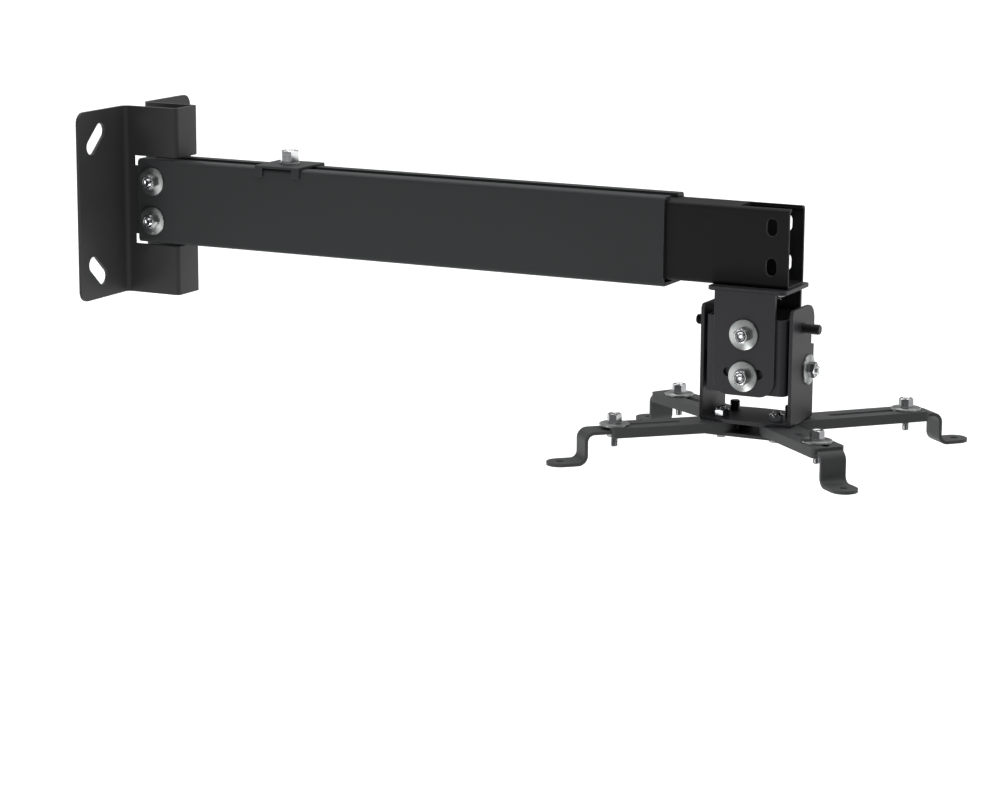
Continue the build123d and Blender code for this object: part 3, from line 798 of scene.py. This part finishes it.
def build_tilt_pin():
    """Black threaded rod through the box and the yoke."""
    builder = bmesh.new()
    (centre, extents), = solids_of("tilt_pin")
    start = centre - Vector((extents.x / 2, 0, 0))
    matrix = standing(start, Vector((1, 0, 0)))
    add_thread(builder, matrix, M6, extents.x, both_ends=True)
    new_piece("tilt_pin", "threaded", builder, HARDWARE[BLACK_SLOT])


build_bolts("plate_bolts", M5, M5_HEAD, FAR)
build_nuts("plate_nuts", M5, NEAR)
build_washers("plate_washers", M5, LOOSE_PLAY, away_from_arm)
build_bolts("clamp_screw", M6, SADDLE_HEAD, UP)
build_nuts("clamp_nut", M6, DOWN)
build_washers("clamp_washer", M6, LOOSE_PLAY, UP)
build_bolts("head_bolts", M5, M5_HEAD, UP)
build_nuts("head_nuts", M5, DOWN)
build_bolts("roll_bolts", M5, M5_HEAD, away_in(Y, -1))
build_nuts("roll_nuts", M5, away_in(Y))
build_washers("roll_washers", M5, CLOSE_PLAY, away_in(Y))
build_bolts("tilt_bolts", M5, M5_HEAD, away_in(X, -1))
build_nuts("tilt_nuts", M5, away_in(X))
build_washers("tilt_washers", M5, CLOSE_PLAY, away_in(X))
build_nuts("tilt_pin_nuts", M6, away_in(X, -1), BLACK_SLOT)
build_washers("tilt_spacers", M6, CLOSE_PLAY, away_in(X))
build_bolts("near_hub_bolts", M5, M5_HEAD, DOWN, shown=HUB_HEAD_SHARE)
build_nuts("near_hub_nuts", M5, UP)
build_bolts("far_hub_screws", M6, M6_HEAD, DOWN, BLACK_SLOT, shown=HUB_HEAD_SHARE)
for side in SPIDER_NAMES:
    build_bolts(f"foot_bolt_{side}", M4, FOOT_HEAD, UP)
    build_nuts(f"foot_nut_{side}", M4, DOWN)
    build_washers(f"foot_washer_{side}", M4, FOOT_PLAY, UP)
build_tilt_pin()


# Sheet steel

def soften_sheet(node_name, finish, edge=SHEET_EDGE, merge_flats=True):
    """Copy of a CAD sheet piece with rounded cut edges.

    Its coplanar faces are joined first, but not where a long slot would get a face across it.
    """
    builder = bmesh.new()
    builder.from_mesh(frame["nodes"][node_name].data)
    bmesh.ops.remove_doubles(builder, verts=builder.verts, dist=SHEET_WELD)
    if merge_flats:
        bmesh.ops.dissolve_limit(
            builder,
            angle_limit=FLAT_ANGLE,
            verts=builder.verts,
            edges=builder.edges,
        )
    piece = new_piece(node_name, "coated", builder, finish)
    rounding = piece.modifiers.new("cut_edges", "BEVEL")
    rounding.width = edge
    rounding.segments = SHEET_EDGE_STEPS
    rounding.limit_method = "ANGLE"
    rounding.angle_limit = SHEET_EDGE_ANGLE
    rounding.harden_normals = True


soften_sheet("wall_plate", PLATE_PAINT)
soften_sheet("sleeve", SLEEVE_PAINT)
soften_sheet("inner_arm", ARM_PAINT)
soften_sheet("clamp_saddle", SLEEVE_PAINT)
for head_part in ("roll_bracket", "tilt_box", "yoke", "hub_plate"):
    soften_sheet(head_part, BRACKET_PAINT, HEAD_EDGE)
for side in SPIDER_NAMES:
    soften_sheet(f"spider_arm_{side}", SPIDER_PAINT, merge_flats=False)
    soften_sheet(f"foot_{side}", SPIDER_PAINT)


# Studio: pale floor, soft light, camera

def build_floor():
    """Large pale floor below the mount, kept out of its reflections."""
    builder = bmesh.new()
    low, high = -FLOOR_REACH, FLOOR_REACH
    corners = ((low, low), (high, low), (high, high), (low, high))
    builder.faces.new([builder.verts.new((x, y, FLOOR_HEIGHT)) for x, y in corners])
    mesh = mesh_from("floor", builder)
    material, _, shader = new_material("pale_floor")
    shader.inputs["Base Color"].default_value = (FLOOR_TONE, FLOOR_TONE, FLOOR_TONE, 1.0)
    shader.inputs["Emission Color"].default_value = (1.0, 1.0, 1.0, 1.0)
    shader.inputs["Emission Strength"].default_value = FLOOR_GLOW
    shader.inputs["Roughness"].default_value = FLOOR_ROUGHNESS
    mesh.materials.append(material)
    floor = put_in_scene("floor", mesh)
    floor.visible_glossy = False
    floor.visible_diffuse = False


def build_world():
    """Soft surroundings, white where the camera sees them.

    The far side and the top are bright, the near side is dim, upright stripes run all round,
    and a soft window stands low on the near left.
    """
    world = bpy.data.worlds.new("studio")
    world.use_nodes = True
    tree = world.node_tree
    background = tree.nodes["Background"]
    background.inputs["Color"].default_value = (1.0, 1.0, 1.0, 1.0)
    direction = node(tree, "ShaderNodeTexCoord").outputs["Generated"]
    parts = node(tree, "ShaderNodeSeparateXYZ")
    tree.links.new(direction, parts.inputs["Vector"])
    facing = likeness(tree, direction, BRIGHT_SIDE)
    sides = span(tree, facing, SIDE_STEP, (DIM_GLOW, BRIGHT_GLOW))
    low = span(tree, parts.outputs["Z"], HORIZON_STEP, (1.0, HORIZON_SHARE))
    above = span(tree, parts.outputs["Z"], TOP_STEP, (0.0, TOP_GLOW))
    plain = plus(tree, times(tree, sides, low), above)
    round_angle = math_node(tree, "ARCTAN2", parts.outputs["Y"], parts.outputs["X"])
    wave = math_node(tree, "SINE", times(tree, round_angle, STRIPES))
    stripes = plus(tree, times(tree, wave, STRIPE_DEPTH), 1.0)
    towards = likeness(tree, direction, WINDOW_SIDE)
    window = span(tree, towards, WINDOW_STEP, (0.0, WINDOW_GLOW))
    glow = plus(tree, times(tree, plain, stripes), window)
    seen = node(tree, "ShaderNodeLightPath").outputs["Is Camera Ray"]
    unseen_glow = times(tree, minus(tree, 1.0, seen), glow)
    tree.links.new(plus(tree, unseen_glow, seen), background.inputs["Strength"])
    bpy.context.scene.world = world


def build_light(name, place, aim, size, power):
    """Soft square light that looks at a point."""
    data = bpy.data.lights.new(name, "AREA")
    data.shape = "SQUARE"
    data.size = size
    data.energy = power
    light = put_in_scene(name, data)
    light.visible_camera = False
    light.location = place
    light.rotation_mode = "QUATERNION"
    light.rotation_quaternion = (Vector(aim) - Vector(place)).to_track_quat("-Z", "Y")


def build_camera():
    """Camera at the photograph's viewing angle."""
    data = bpy.data.cameras.new("camera")
    data.sensor_width = SENSOR_WIDTH_MM
    data.lens = FOCAL_PIXELS * SENSOR_WIDTH_MM / IMAGE_WIDTH
    back = Vector((
        math.sin(CAMERA_AZIMUTH) * math.cos(CAMERA_ELEVATION),
        -math.cos(CAMERA_AZIMUTH) * math.cos(CAMERA_ELEVATION),
        math.sin(CAMERA_ELEVATION),
    ))
    right = Vector((math.cos(CAMERA_AZIMUTH), math.sin(CAMERA_AZIMUTH), 0.0))
    up = back.cross(right)
    rolled_right = right * math.cos(CAMERA_ROLL) + up * math.sin(CAMERA_ROLL)
    rolled_up = up * math.cos(CAMERA_ROLL) - right * math.sin(CAMERA_ROLL)
    turn = Matrix((rolled_right, rolled_up, back)).transposed().to_4x4()
    camera = put_in_scene("camera", data)
    camera.matrix_world = Matrix.Translation(CAMERA_PLACE) @ turn
    bpy.context.scene.camera = camera


build_floor()
build_world()
build_light("key", place=(-0.9, 0.9, 2.2), aim=(0.3, 0.0, 0.0), size=1.2, power=9.0)
build_light("fill", place=(-0.6, -1.25, -0.38), aim=(0.03, 0.0, -0.03), size=0.6, power=2.5)
build_light("low", place=(0.32, -0.42, -0.5), aim=(0.02, -0.05, -0.06), size=0.25, power=1.6)
build_camera()
bpy.context.scene.view_settings.view_transform = "Standard"
